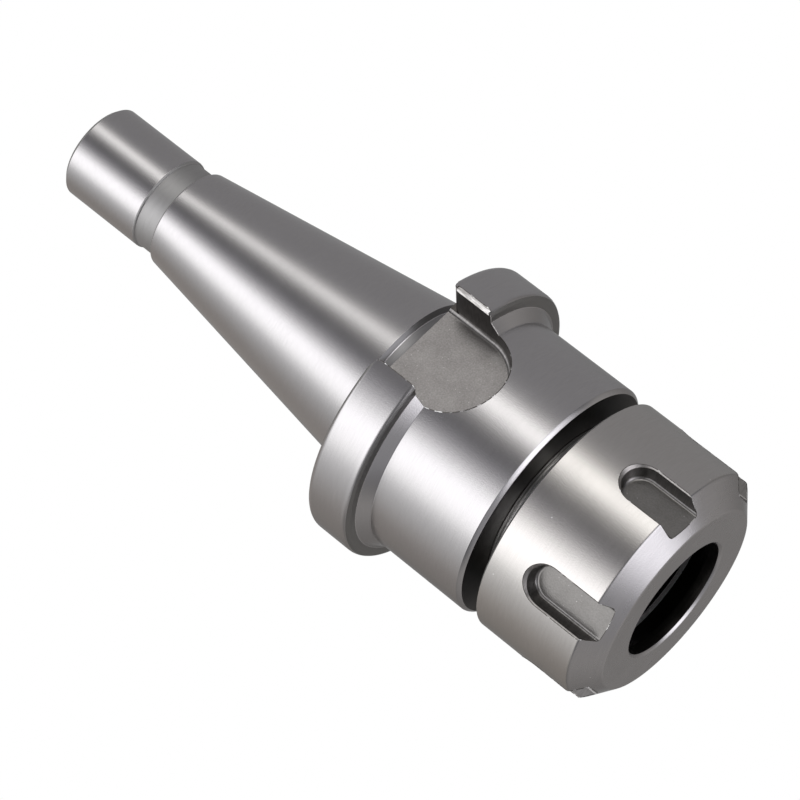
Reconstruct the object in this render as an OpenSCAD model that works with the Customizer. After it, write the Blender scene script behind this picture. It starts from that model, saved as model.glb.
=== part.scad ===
// Collet chuck holder: a steep-taper shank with a driven flange, a body with
// a tapered collet seat, and a slotted clamping nut on its threaded nose.
// All sizes in millimetres. The chuck stands on the front face of its nut,
// with the shank pointing straight up along +Z.

/* [Taper shank] */
// Diameter of the taper at the gauge plane
gauge_d = 31.75; // [28:0.05:36]
// Distance from the gauge plane to the small end of the taper
taper_len = 48.4; // [40:0.1:60]
// Distance from the gauge plane to the large end of the taper
taper_start = 0.85; // [0.4:0.05:1.6]
// Diameter of the neck behind the taper
neck_d = 16; // [14:0.1:16.4]
// Length of the neck
neck_len = 4; // [2:0.1:8]
// Diameter of the pilot at the rear end
pilot_d = 16.7; // [16.4:0.1:17.4]
// Length of the pilot
pilot_len = 16; // [10:0.5:24]
// Chamfer on the rear edge of the pilot
pilot_chamfer = 0.6; // [0.2:0.1:1.2]
// Edge break on the two shoulders beside the neck
shank_break = 0.3; // [0.1:0.05:0.4]

/* [Drawbar hole] */
// Core diameter of the drawbar thread
drawbar_d = 10.2; // [8:0.1:11.5]
// Depth of the drawbar hole, without its drill point
drawbar_depth = 34; // [24:0.5:44]
// Countersink at the mouth of the drawbar hole
drawbar_sink = 1.1; // [0.5:0.1:1.6]

/* [Flange] */
// Diameter of the flange
flange_d = 50; // [47:0.5:56]
// Distance from the gauge plane to the rear face of the flange
flange_offset = 2; // [1.9:0.1:3]
// Thickness of the flange
flange_len = 8; // [6:0.1:12]
// Radius on the front edge of the flange
flange_round = 0.7; // [0.4:0.1:1.2]
// Width of the flat ring between that radius and the sloping front face
flange_ledge = 1; // [0.4:0.1:1.6]
// Edge break on the rear edge of the flange
flange_break = 0.5; // [0.2:0.1:1]
// Length of the sloping front face
bevel_len = 1.4; // [0.8:0.1:3]
// Diameter of the groove between taper and flange
groove_d = 30; // [28:0.1:30.6]
// Fillet at the flange side of the groove
groove_fillet = 0.7; // [0.3:0.05:1]

/* [Drive slots] */
// Width of each drive slot
drive_w = 16.1; // [12:0.1:18]
// Distance from the axis to the floor of a drive slot
drive_floor = 16.2; // [16.1:0.05:17.5]
// Length of a drive slot, from the rear of the flange to its round end
drive_len = 16.5; // [13:0.1:19]
// Fillet along the floor of a drive slot
drive_fillet = 0.8; // [0.3:0.1:1.2]

/* [Body] */
// Diameter of the body
body_d = 42.2; // [40:0.1:44]
// Distance from the front face of the body to the gauge plane
body_len = 29.6; // [25:0.1:45]
// Radius on the front edge of the body
body_round = 0.7; // [0.3:0.1:3]

/* [Threaded nose] */
// Pitch diameter of the nose thread
nose_d = 31; // [30:0.05:32]
// Length of the nose in front of the body
nose_len = 11.8; // [10.5:0.1:13.2]
// Diameter of the thread relief behind the nose
relief_d = 29.2; // [26.5:0.1:29.8]
// Length of the thread relief
relief_len = 2.6; // [1.5:0.1:4]
// Chamfer on the front edge of the nose
nose_chamfer = 0.8; // [0.3:0.1:1.1]

/* [Collet cavity] */
// Diameter of the collet seat at its mouth
seat_d = 26; // [24:0.1:27]
// Half angle of the collet seat
seat_angle = 8; // [6:0.5:9]
// Length of the collet seat
seat_len = 26; // [20:0.5:28]
// Chamfer at the mouth of the collet seat
seat_chamfer = 0.4; // [0.2:0.1:0.6]
// Diameter of the bore behind the collet seat
bore_d = 18; // [14:0.5:18.5]
// Depth of the bore from the front of the nose, without its drill point
bore_depth = 44; // [36:0.5:52]

/* [Clamping nut] */
// Diameter of the nut
nut_d = 42; // [39.5:0.1:45]
// Length of the nut
nut_len = 21.9; // [20.5:0.1:24]
// Gap between the nut and the body
nut_gap = 2.9; // [1:0.1:3.6]
// Diameter of the flat front face of the nut
nut_face_d = 33.4; // [30:0.1:36]
// Length of the front chamfer of the nut
nut_chamfer = 3.5; // [2:0.1:5]
// Diameter of the rear face of the nut
nut_rear_d = 40.4; // [38:0.1:41]
// Length of the rear chamfer of the nut
nut_rear_chamfer = 0.5; // [0.3:0.1:1.5]
// Radial clearance between the nose thread and the nut thread
thread_gap = 0.1; // [0.05:0.01:0.2]
// Chamfer at the rear mouth of the nut thread
thread_chamfer = 0.9; // [0.4:0.1:1.4]
// Turn of the nut on its thread, as stored
nut_turn = 7.8; // [0:0.1:60]

/* [Nut opening] */
// Diameter of the front opening
open_d = 20.9; // [18:0.1:22]
// Edge break on the front rim of the opening
open_break = 0.4; // [0.2:0.1:0.6]
// Length of the cylindrical front opening
open_len = 2.2; // [1.5:0.1:3]
// Half angle of the clamping cone
cone_angle = 30; // [25:1:35]
// Diameter at the large end of the clamping cone
cone_d = 26.6; // [25.4:0.1:27.4]
// Height of the extractor lip above the nut face
lip_z = 8.2; // [7.8:0.1:8.6]
// Thickness of the extractor lip
lip_t = 1.5; // [1:0.1:1.9]
// Bore of the extractor lip
lip_d = 24.8; // [23.6:0.1:24.9]
// Offset of the extractor lip from the axis
lip_offset = 0.8; // [0.3:0.05:0.9]
// Diameter of the run-out groove in front of the nut thread
runout_d = 33.2; // [32:0.1:33.8]
// Length of the run-out groove
runout_len = 2.2; // [1.4:0.1:2.8]

/* [Spanner slots] */
// Number of spanner slots
spanner_count = 6; // [4:1:8]
// Width of each spanner slot at its floor
spanner_w = 6.2; // [5:0.1:8]
// Depth of a spanner slot below the nut's rim
spanner_depth = 2.8; // [1.5:0.1:3.2]
// Length of the long spanner slots, from the nut face to the round end
spanner_long = 14.8; // [11:0.1:16]
// Length of the short spanner slots, which lie between the long ones
spanner_short = 12.6; // [10:0.1:16]
// Fillet along the floor of a spanner slot
spanner_fillet = 0.5; // [0.2:0.1:1]
// Lean of a spanner slot's walls away from its middle
spanner_lean = 8; // [0:1:15]
// Depth of the break on a spanner slot's upper edge
spanner_break = 0.5; // [0.1:0.1:0.8]

/* [Hidden] */
// taper of 7 in 24 on the diameter
taper = 7 / 24;
// half angle of a drill point
drill_angle = 59;
// overshoot of cutting shapes
over = 1;
// heights above the front face of the nut
body_z = nut_len + nut_gap;
gauge_z = body_z + body_len;
flange_z = gauge_z - flange_offset;
front_z = flange_z - flange_len;
bevel_z = front_z - bevel_len;
bevel_r = flange_d / 2 - flange_round - flange_ledge;
taper_z = gauge_z + taper_start;
small_z = gauge_z + taper_len;
neck_z = small_z + neck_len;
rear_z = neck_z + pilot_len;
nose_z = body_z - nose_len;
relief_z = body_z - relief_len;
// radii
small_r = gauge_d / 2 - taper_len * taper / 2;
large_r = gauge_d / 2 - taper_start * taper / 2;
seat_r = seat_d / 2;
seat_end_r = seat_r - (seat_len - seat_chamfer) * tan(seat_angle);
thread_r = nose_d / 2 + thread_gap;
cone_z = open_len + (cone_d - open_d) / 2 / tan(cone_angle);
lip_top_z = lip_z + lip_t;
runout_z = lip_top_z + runout_len;

// Waste outside a rounded rim with its corner at (r, z). It lies above the
// rim where up is 1, and below the rim where up is -1.
module rim_waste(r, z, radius, up) {
    translate([r - radius, z - up * radius])
        difference() {
            translate([0, up > 0 ? 0 : -radius - over])
                square([radius + over, radius + over]);
            circle(radius, $fn = 96);
        }
}

// Section of an end mill with rounded corners, its tip at y = 0. Its sides
// lean outwards by the given angle and flare at 45 degrees above flare_y.
module mill_section(width, fillet, lean, flare_y, height) {
    reach = fillet * tan(45 - lean / 2);
    flare_x = width / 2 + flare_y * tan(lean);
    for (side = [0, 1])
        mirror([side, 0]) {
            polygon([
                [0, 0],
                [width / 2 - reach, 0],
                [width / 2 + reach * sin(lean), reach * cos(lean)],
                [flare_x, flare_y],
                [flare_x + height - flare_y, height],
                [0, height]
            ]);
            translate([width / 2 - reach, fillet])
                circle(fillet, $fn = 48);
        }
}

// Path of an end mill whose axis is radial, cut towards -Y. The floor lies
// floor_r from the axis, the round end at end_z and the open end at open_z.
module milled_slot(width, fillet, floor_r, rim_r, end_z, open_z, lean, edge) {
    way = open_z > end_z ? 1 : -1;
    centre_z = end_z + way * width / 2;
    run = abs(open_z - centre_z);
    height = rim_r - floor_r + 2 * over;
    flare_y = rim_r - floor_r - edge;
    translate([0, -floor_r, centre_z])
        rotate([90, 0, 0]) {
            rotate_extrude($fn = 96)
                intersection() {
                    mill_section(width, fillet, lean, flare_y, height);
                    square([width, height + over]);
                }
            translate([0, way > 0 ? run : 0, 0])
                rotate([90, 0, 0])
                    linear_extrude(run)
                        mill_section(width, fillet, lean, flare_y, height);
        }
}

// Outer section of the holder, from the nose up to the pilot
module holder_section() {
    difference() {
        polygon([
            [0, nose_z],
            [nose_d / 2 - nose_chamfer, nose_z],
            [nose_d / 2, nose_z + nose_chamfer],
            [nose_d / 2, relief_z - (nose_d - relief_d) / 2],
            [relief_d / 2, relief_z],
            [relief_d / 2, body_z],
            [body_d / 2, body_z],
            [body_d / 2, bevel_z],
            [bevel_r, front_z],
            [flange_d / 2, front_z],
            [flange_d / 2, flange_z - flange_break],
            [flange_d / 2 - flange_break, flange_z],
            [groove_d / 2, flange_z],
            [groove_d / 2, taper_z],
            [large_r, taper_z],
            [small_r + shank_break * taper / 2, small_z - shank_break],
            [small_r - shank_break, small_z],
            [neck_d / 2, small_z],
            [neck_d / 2, neck_z],
            [max(neck_d, pilot_d) / 2 - shank_break / 2, neck_z],
            [pilot_d / 2, neck_z + shank_break],
            [pilot_d / 2, rear_z - pilot_chamfer],
            [pilot_d / 2 - pilot_chamfer, rear_z],
            [0, rear_z]
        ]);
        rim_waste(flange_d / 2, front_z, flange_round, -1);
        rim_waste(body_d / 2, body_z, body_round, -1);
    }
    // fillet where the groove meets the rear of the flange
    translate([groove_d / 2, flange_z])
        difference() {
            square(groove_fillet);
            translate([groove_fillet, groove_fillet])
                circle(groove_fillet, $fn = 48);
        }
}

// Section of the collet seat, the bore behind it and its drill point
module cavity_section() {
    end_z = nose_z + bore_depth;
    polygon([
        [0, nose_z - over],
        [seat_r + seat_chamfer + over, nose_z - over],
        [seat_r, nose_z + seat_chamfer],
        [seat_end_r, nose_z + seat_len],
        [bore_d / 2, nose_z + seat_len],
        [bore_d / 2, end_z],
        [0, end_z + bore_d / 2 / tan(drill_angle)]
    ]);
}

// Section of the drawbar hole, with its countersink and drill point
module drawbar_section() {
    end_z = rear_z - drawbar_depth;
    polygon([
        [0, rear_z + over],
        [drawbar_d / 2 + drawbar_sink + over, rear_z + over],
        [drawbar_d / 2, rear_z - drawbar_sink],
        [drawbar_d / 2, end_z],
        [0, end_z - drawbar_d / 2 / tan(drill_angle)]
    ]);
}

// Shank, flange, body and nose: one turned and ground piece
module holder() {
    color("silver")
        difference() {
            rotate_extrude($fn = 180)
                difference() {
                    holder_section();
                    cavity_section();
                    drawbar_section();
                }
            for (turn = [0, 180])
                rotate([0, 0, turn])
                    milled_slot(drive_w, drive_fillet, drive_floor,
                        flange_d / 2, flange_z - drive_len, flange_z + over,
                        0, -over);
        }
}

// Section of the nut, with a plain bore where its thread is
module nut_section() {
    polygon([
        [open_d / 2 + open_break, 0],
        [nut_face_d / 2, 0],
        [nut_d / 2, nut_chamfer],
        [nut_d / 2, nut_len - nut_rear_chamfer],
        [nut_rear_d / 2, nut_len],
        [thread_r + thread_chamfer, nut_len],
        [thread_r, nut_len - thread_chamfer],
        [thread_r, runout_z + (runout_d / 2 - thread_r)],
        [runout_d / 2, runout_z],
        [runout_d / 2, lip_top_z],
        [open_d / 2, lip_top_z],
        [open_d / 2, open_break]
    ]);
}

// Clamping cone and the pocket behind it, up to the extractor lip
module cone_section() {
    polygon([
        [0, open_len],
        [open_d / 2, open_len],
        [cone_d / 2, cone_z],
        [cone_d / 2, lip_z],
        [0, lip_z]
    ]);
}

// Clamping nut with its eccentric extractor lip and spanner slots
module clamping_nut() {
    color("gainsboro")
        rotate([0, 0, nut_turn])
            difference() {
                rotate_extrude($fn = 180)
                    difference() {
                        nut_section();
                        cone_section();
                    }
                translate([lip_offset, 0, lip_z - over / 4])
                    cylinder(h = lip_t + over / 2, d = lip_d, $fn = 120);
                for (i = [0 : spanner_count - 1])
                    rotate([0, 0, i * 360 / spanner_count])
                        milled_slot(spanner_w, spanner_fillet,
                            nut_d / 2 - spanner_depth, nut_d / 2,
                            i % 2 == 0 ? spanner_short : spanner_long, -over,
                            spanner_lean, spanner_break);
            }
}

holder();
clamping_nut();
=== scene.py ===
# %% [markdown]
# # Collet chuck holder
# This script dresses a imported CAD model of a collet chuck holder: a steep
# taper shank, a driven flange, a body, and a slotted clamping nut on the nose.
# The real chuck is turned, milled, hardened and ground from alloy steel, so
# the lesson is about lathe shapes, end-mill slots and bare metal in a studio.
# The CAD model comes in metres. The drawing of a tool is in millimetres, so
# every size below is in millimetres times MM.

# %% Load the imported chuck
import math

import bmesh
import bpy
from mathutils import Matrix, Vector


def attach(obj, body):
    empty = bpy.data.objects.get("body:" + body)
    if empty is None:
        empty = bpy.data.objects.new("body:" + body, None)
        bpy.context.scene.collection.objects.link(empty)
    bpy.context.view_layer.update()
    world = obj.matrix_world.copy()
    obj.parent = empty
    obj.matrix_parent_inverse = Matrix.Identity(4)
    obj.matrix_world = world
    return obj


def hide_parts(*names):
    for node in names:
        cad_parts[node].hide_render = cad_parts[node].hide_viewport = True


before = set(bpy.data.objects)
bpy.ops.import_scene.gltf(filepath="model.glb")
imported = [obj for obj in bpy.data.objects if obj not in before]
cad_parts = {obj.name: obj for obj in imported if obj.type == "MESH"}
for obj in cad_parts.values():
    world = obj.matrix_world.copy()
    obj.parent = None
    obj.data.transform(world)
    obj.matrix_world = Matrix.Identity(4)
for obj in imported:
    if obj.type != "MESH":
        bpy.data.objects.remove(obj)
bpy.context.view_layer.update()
MM = 0.001
bpy.ops.object.select_all(action="DESELECT")

# %% [markdown]
# ## The camera
# The chuck stands on its nut, and it was photographed lying in the air, so the
# camera looks up at it from below with a strong roll. Its place and focal
# length could be found by eye. Here they come from fitting a pinhole camera to
# edges of known size, which comes closer. A long lens keeps the two ends of the
# chuck nearly equal in scale.

# %% Place the camera
# where the camera's right, up and back point
right = Vector((0.67750, 0.02894, -0.73496))
up = Vector((0.64602, -0.50114, 0.57578))
back = Vector((-0.35165, -0.86489, -0.35821))
aim = Matrix((right, up, back)).transposed()
bpy.ops.object.camera_add(location=(-0.193004, -0.469810, -0.140037), rotation=aim.to_euler())
camera = bpy.context.object
camera.data.sensor_width = 36
camera.data.lens = 156.97
camera.data.clip_start = 0.01
camera.data.clip_end = 20
bpy.context.scene.camera = camera
CAMERA_AZIMUTH = math.atan2(back.y, back.x)
print("camera azimuth about the axis:", round(math.degrees(CAMERA_AZIMUTH), 1), "degrees")

# %% [markdown]
# ## Colours
# Colours are picked as hex values from a screen, which are sRGB, while nodes
# count in linear light. One function turns one into the other.

# %% Helper for colours
def linear(hex_code):
    """The linear colour of an sRGB hex value."""
    values = [int(hex_code[i:i + 2], 16) / 255 for i in (1, 3, 5)]
    return [v / 12.92 if v <= 0.04045 else ((v + 0.055) / 1.055) ** 2.4 for v in values] + [1]


print("middle grey is", round(linear("#808080")[0], 3), "in linear light")

# %% [markdown]
# ## Nodes
# A finish is a tree of nodes. It could be drawn by hand in the shader editor.
# Here one function adds a node, sets it and links it, so that each material
# reads as a list from pattern to metal. A Mix node has a set of sockets for
# each kind of data: 2 and 3 are its two numbers, 6 and 7 its two colours, and
# the mixed colour is output 2.

# %% Helpers for nodes
def add(tree, kind, links=(), values=(), **settings):
    """A new node. Settings go by name, links and values by the name or number of a socket."""
    made = tree.nodes.new(kind)
    for name, value in settings.items():
        if name in made.inputs:
            made.inputs[name].default_value = value
        elif hasattr(made, name):
            setattr(made, name, value)
        else:
            made.inputs[name.replace("_", " ")].default_value = value
    for socket, value in values:
        made.inputs[socket].default_value = value
    for socket, source in links:
        tree.links.new(source, made.inputs[socket])
    return made


def new_material(name):
    """An empty material with its tree of nodes."""
    material = bpy.data.materials.new(name)
    material.use_nodes = True
    material.node_tree.nodes.clear()
    return material, material.node_tree


# %% [markdown]
# ## The studio
# Polished metal has no colour of its own to speak of: it shows the room. Here
# the room is a white background with cards and softboxes in front of it, out of
# the picture. Going round at eye level there is a wide white softbox to the
# left of the camera, a narrow one to its right, and grey cards in between. They
# could be lamps and planes. They are painted on the world by direction, which
# lights softly, can't be seen, and costs nothing to render.

# %% List the cards and softboxes
# each row: degrees round from the camera, level of light low down and high up, tint
ROOM = [
    (-180, 0.50, 0.60, "#ffffff"), (-168, 0.20, 0.30, "#ffffff"), (-156, 0.17, 0.34, "#fff8f2"),
    (-140, 0.24, 0.32, "#fff6ee"), (-118, 0.30, 0.33, "#fff7f1"), (-104, 0.42, 0.40, "#fffaf6"),
    (-88, 0.60, 0.52, "#ffffff"), (-72, 0.84, 0.80, "#ffffff"), (-58, 1.80, 1.75, "#ffffff"),
    (-36, 2.10, 2.05, "#fdfcff"), (-26, 1.45, 1.15, "#ffffff"), (-14, 0.50, 0.46, "#fbf9ff"),
    (-2, 0.14, 0.16, "#f8f6ff"), (10, 0.14, 0.14, "#fcfaff"), (22, 0.50, 0.30, "#fffdfb"),
    (32, 2.10, 1.10, "#fffefc"), (40, 2.10, 1.50, "#fffefc"), (49, 0.60, 0.45, "#fffdfb"),
    (60, 0.28, 0.27, "#fdfbff"), (84, 0.27, 0.27, "#fffdff"), (136, 0.27, 0.27, "#fffdff"),
    (156, 0.20, 0.30, "#ffffff"), (168, 0.22, 0.32, "#ffffff"), (180, 0.50, 0.60, "#ffffff"),
]
PEAK = 2.1  # the brightest level, because a colour ramp holds values up to 1


def lit(tint, level):
    """That tint as light of that level."""
    return [c * level for c in linear(tint)[:3]] + [1]


print("cards and softboxes:", len(ROOM), "stops")

# %% [markdown]
# The direction of a ray is turned so that X points at the camera's side of the
# room. Its angle round the axis picks a stop from one ramp for the low part of
# the walls and from one for the high part.

# %% Paint the walls
world = bpy.data.worlds.new("studio_room")
bpy.context.scene.world = world
world.use_nodes = True
tree = world.node_tree
tree.nodes.clear()
direction = add(tree, "ShaderNodeTexCoord").outputs["Generated"]
facing = add(tree, "ShaderNodeMapping", [("Vector", direction)], Rotation=(0, 0, -CAMERA_AZIMUTH))
axes = add(tree, "ShaderNodeSeparateXYZ", [("Vector", facing.outputs[0])])
round_angle = add(tree, "ShaderNodeMath", [(0, axes.outputs["Y"]), (1, axes.outputs["X"])],
                  operation="ARCTAN2")
round_share = add(tree, "ShaderNodeMapRange", [("Value", round_angle.outputs[0])],
                  From_Min=-math.pi, From_Max=math.pi)
bands = []
for column in (1, 2):
    ramp = add(tree, "ShaderNodeValToRGB", [("Fac", round_share.outputs[0])])
    ramp.color_ramp.interpolation = "B_SPLINE"
    stops = ramp.color_ramp.elements
    stops.remove(stops[0])
    for i, row in enumerate(ROOM):
        place = (row[0] + 180) / 360
        stop = stops[0] if i == 0 else stops.new(place)
        stop.position = place
        stop.color = lit(row[3], row[column] / PEAK)
    bands.append(ramp.outputs["Color"])
print("stops on each ramp:", len(stops))

# %% [markdown]
# A softbox has a top and a foot, a card has an edge, and all are out of focus
# in ground metal. So each height where the room changes is a soft step: 0 under
# the first height and 1 over the second.

# %% Tell the heights apart
HEIGHTS = {"lamp middles": (18, 29), "card behind": (-42, -2), "card below": (-54, -40),
           "softbox feet": (-34, -14), "eye level": (-12, 6), "ceiling": (55, 80)}
height = add(tree, "ShaderNodeMath", [(0, axes.outputs["Z"])], operation="ARCSINE").outputs[0]
over = {}
for name, (low, high) in HEIGHTS.items():
    soft_step = add(tree, "ShaderNodeMapRange", [("Value", height)], interpolation_type="SMOOTHSTEP",
                    From_Min=math.radians(low), From_Max=math.radians(high))
    over[name] = soft_step.outputs[0]
both = add(tree, "ShaderNodeMix", [("Factor", over["lamp middles"]), (6, bands[0]), (7, bands[1])],
           data_type="RGBA")
walls = add(tree, "ShaderNodeVectorMath", [(0, both.outputs[2])], operation="SCALE",
            Scale=PEAK).outputs[0]
print("soft steps at", list(HEIGHTS.values()), "degrees")

# %% [markdown]
# Below eye level a grey card stands behind the chuck, which makes the nut's
# face and chamfer calm. In front the softboxes reach further down, and under
# them lies a darker strip of table.

# %% Paint the room below eye level
ahead = add(tree, "ShaderNodeMapRange", [("Value", axes.outputs["X"])],
            interpolation_type="SMOOTHSTEP", From_Min=-0.45, From_Max=-0.05)
behind = add(tree, "ShaderNodeMix", [("Factor", over["card behind"])],
             [(6, lit("#fffbf8", 0.37)), (7, lit("#fffaf6", 0.18))], data_type="RGBA")
strip = add(tree, "ShaderNodeMix", [("Factor", over["card below"])],
            [(6, lit("#fbfaff", 0.35)), (7, (0.11, 0.11, 0.115, 1))], data_type="RGBA")
in_front = add(tree, "ShaderNodeMix", [("Factor", over["softbox feet"]), (6, strip.outputs[2]),
                                       (7, walls)], data_type="RGBA")
low_walls = add(tree, "ShaderNodeMix", [("Factor", ahead.outputs[0]), (6, behind.outputs[2]),
                                        (7, in_front.outputs[2])], data_type="RGBA")
room = add(tree, "ShaderNodeMix", [("Factor", over["eye level"]), (6, low_walls.outputs[2]),
                                   (7, walls)], data_type="RGBA")
print("nodes up to here:", len(tree.nodes))

# %% [markdown]
# A small white card lies under the nut, a little in front. It fades from its
# middle, 2 degrees wide, to nothing at 38 degrees, and it lights the side of
# the chamfers that faces down. The ceiling is a plain grey.

# %% Lay the white card and close the ceiling
card_way = Vector((0.251, 0.299, -0.9205))
card_near = add(tree, "ShaderNodeVectorMath", [(0, facing.outputs[0])], [(1, card_way)],
                operation="DOT_PRODUCT")
card_off = add(tree, "ShaderNodeMath", [(0, card_near.outputs["Value"])], operation="ARCCOSINE")
card = add(tree, "ShaderNodeMapRange", [("Value", card_off.outputs[0])],
           interpolation_type="SMOOTHSTEP", From_Min=math.radians(38), From_Max=math.radians(2))
card_lit = add(tree, "ShaderNodeMix", [("Factor", card.outputs[0]), (6, room.outputs[2])],
               [(7, lit("#fbfaff", 2.45))], data_type="RGBA")
reflected = add(tree, "ShaderNodeMix", [("Factor", over["ceiling"]), (6, card_lit.outputs[2])],
                [(7, (0.28, 0.28, 0.27, 1))], data_type="RGBA")
print("white card:", round(math.degrees(math.asin(card_way.z))), "degrees high")

# %% [markdown]
# The camera sees the background as plain white. So does the metal, but for the
# cards and softboxes that stand before it. Matte things, such as the floor, get
# a plain even light. Light Path tells these rays apart.

# %% Say who sees what
ray = add(tree, "ShaderNodeLightPath")
shown = add(tree, "ShaderNodeMix", [("Factor", ray.outputs["Is Camera Ray"]),
                                    (6, reflected.outputs[2])], [(7, (1, 1, 1, 1))],
            data_type="RGBA")
background = add(tree, "ShaderNodeBackground", [("Color", shown.outputs[2])])
even_light = add(tree, "ShaderNodeBackground", Color=(0.86, 0.86, 0.85, 1))
mirror = add(tree, "ShaderNodeMath", [(0, ray.outputs["Is Glossy Ray"]),
                                      (1, ray.outputs["Is Transmission Ray"])], operation="MAXIMUM")
sees_it = add(tree, "ShaderNodeMath", [(0, ray.outputs["Is Camera Ray"]), (1, mirror.outputs[0])],
              operation="MAXIMUM")
choice = add(tree, "ShaderNodeMixShader", [(0, sees_it.outputs[0]), (1, even_light.outputs[0]),
                                           (2, background.outputs[0])])
add(tree, "ShaderNodeOutputWorld", [("Surface", choice.outputs[0])])
bpy.context.scene.view_settings.view_transform = "Standard"
print("world nodes:", len(tree.nodes))

# %% [markdown]
# ## The floor
# The floor is a pale disc just under the nut. Its top shows to the camera with
# the chuck's soft shadow and fades out to the white of the room. From below,
# and in the metal, it isn't there, so that the camera can look up through it.
# A plane without these conditions would hide the chuck from this camera.

# %% Lay the floor
bpy.ops.mesh.primitive_circle_add(vertices=96, radius=0.8, fill_type="NGON",
                                  location=(0, 0, -0.2 * MM))
floor = bpy.context.object
floor.name = "floor"
bpy.ops.object.transform_apply(location=True)
# pale paper: matte, so it shows soft shadow and no mirror image
paper, tree = new_material("pale_paper")
place = add(tree, "ShaderNodeTexCoord")
far = add(tree, "ShaderNodeVectorMath", [(0, place.outputs["Object"])], operation="LENGTH")
fade = add(tree, "ShaderNodeMapRange", [("Value", far.outputs["Value"])],
           interpolation_type="SMOOTHSTEP", From_Min=0.12, From_Max=0.6, To_Min=1, To_Max=0)
ray = add(tree, "ShaderNodeLightPath")
side = add(tree, "ShaderNodeNewGeometry")
top = add(tree, "ShaderNodeMath", [(1, side.outputs["Backfacing"])], [(0, 1)], operation="SUBTRACT")
seen = add(tree, "ShaderNodeMath", [(0, top.outputs[0]), (1, ray.outputs["Is Camera Ray"])],
           operation="MULTIPLY")
share = add(tree, "ShaderNodeMath", [(0, seen.outputs[0]), (1, fade.outputs[0])],
            operation="MULTIPLY")
clear = add(tree, "ShaderNodeBsdfTransparent")
sheet = add(tree, "ShaderNodeBsdfDiffuse", Color=linear("#f6f5f3"))
choice = add(tree, "ShaderNodeMixShader", [(0, share.outputs[0]), (1, clear.outputs[0]),
                                           (2, sheet.outputs[0])])
add(tree, "ShaderNodeOutputMaterial", [("Surface", choice.outputs[0])])
floor.data.materials.append(paper)
print("floor:", round(floor.dimensions.x, 2), "m wide")

# %% [markdown]
# ## Finishes
# Every surface is steel, but each was made another way and shows it: ground on
# the taper and the body, turned on the neck and the nut, milled in the slots.
# Some colours stand for light: painted shade darkens the bores, threads, gaps,
# groove and ledges, and painted highlights brighten some edges, lines and a ring
# inside the nut.
#
# A lathe and a cylindrical grinder leave lines that go round the axis. An
# image could be wrapped round, with a seam. Here a noise is read by radius,
# height and direction from the axis, so it is drawn out round it without one.

# %% Lines left by a tool that goes round
def lines_round_axis(tree, line, turns):
    """Lines of that width in mm along circles round the axis. Few turns make long lines."""
    place = add(tree, "ShaderNodeTexCoord")
    parts = add(tree, "ShaderNodeSeparateXYZ", [("Vector", place.outputs["Object"])])
    flat = add(tree, "ShaderNodeCombineXYZ", [("X", parts.outputs["X"]), ("Y", parts.outputs["Y"])])
    radius = add(tree, "ShaderNodeVectorMath", [(0, flat.outputs[0])], operation="LENGTH")
    around = add(tree, "ShaderNodeVectorMath", [(0, flat.outputs[0])], operation="NORMALIZE")
    along = add(tree, "ShaderNodeMath", [(0, parts.outputs["Z"])], [(1, 1 / (line * MM))],
                operation="MULTIPLY")
    outward = add(tree, "ShaderNodeMath", [(0, radius.outputs["Value"])], [(1, 1 / (line * MM))],
                  operation="MULTIPLY")
    spread = add(tree, "ShaderNodeVectorMath", [(0, around.outputs[0])], operation="SCALE",
                 Scale=turns)
    split = add(tree, "ShaderNodeSeparateXYZ", [("Vector", spread.outputs[0])])
    where = add(tree, "ShaderNodeCombineXYZ", [("X", split.outputs["X"]), ("Y", split.outputs["Y"]),
                                               ("Z", along.outputs[0])])
    return add(tree, "ShaderNodeTexNoise", [("Vector", where.outputs[0]), ("W", outward.outputs[0])],
               noise_dimensions="4D", Scale=1, Detail=2, Roughness=0.6).outputs[0]


# %% [markdown]
# A tool that is used gets small dents from keys and other tools. Each is a dot
# in a cell of a Voronoi pattern, and the cell's own colour decides by luck
# whether it has one.

# %% Small dents
def small_dings(tree, spacing, size, share):
    """Dots of that size in mm, in a share of cells that are spacing mm wide: 1 in a dot."""
    place = add(tree, "ShaderNodeTexCoord")
    cells = add(tree, "ShaderNodeTexVoronoi", [("Vector", place.outputs["Object"])],
                Scale=1 / (spacing * MM))
    dot = add(tree, "ShaderNodeMapRange", [("Value", cells.outputs["Distance"])],
              interpolation_type="SMOOTHSTEP",
              From_Min=size / spacing * 0.7, From_Max=size / spacing * 0.3)
    luck = add(tree, "ShaderNodeSeparateColor", [("Color", cells.outputs["Color"])])
    chosen = add(tree, "ShaderNodeMath", [(0, luck.outputs[0])], [(1, 1 - share)],
                 operation="GREATER_THAN")
    return add(tree, "ShaderNodeMath", [(0, dot.outputs[0]), (1, chosen.outputs[0])],
               operation="MULTIPLY").outputs[0]


# %% [markdown]
# Turned and ground steel differ in how dark, how smooth and how finely lined
# they are, and are otherwise one recipe: lines round the axis change the
# colour, the roughness and the bump, clouds of handling change the roughness,
# and the grain of the steel breaks up the highlight.

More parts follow.
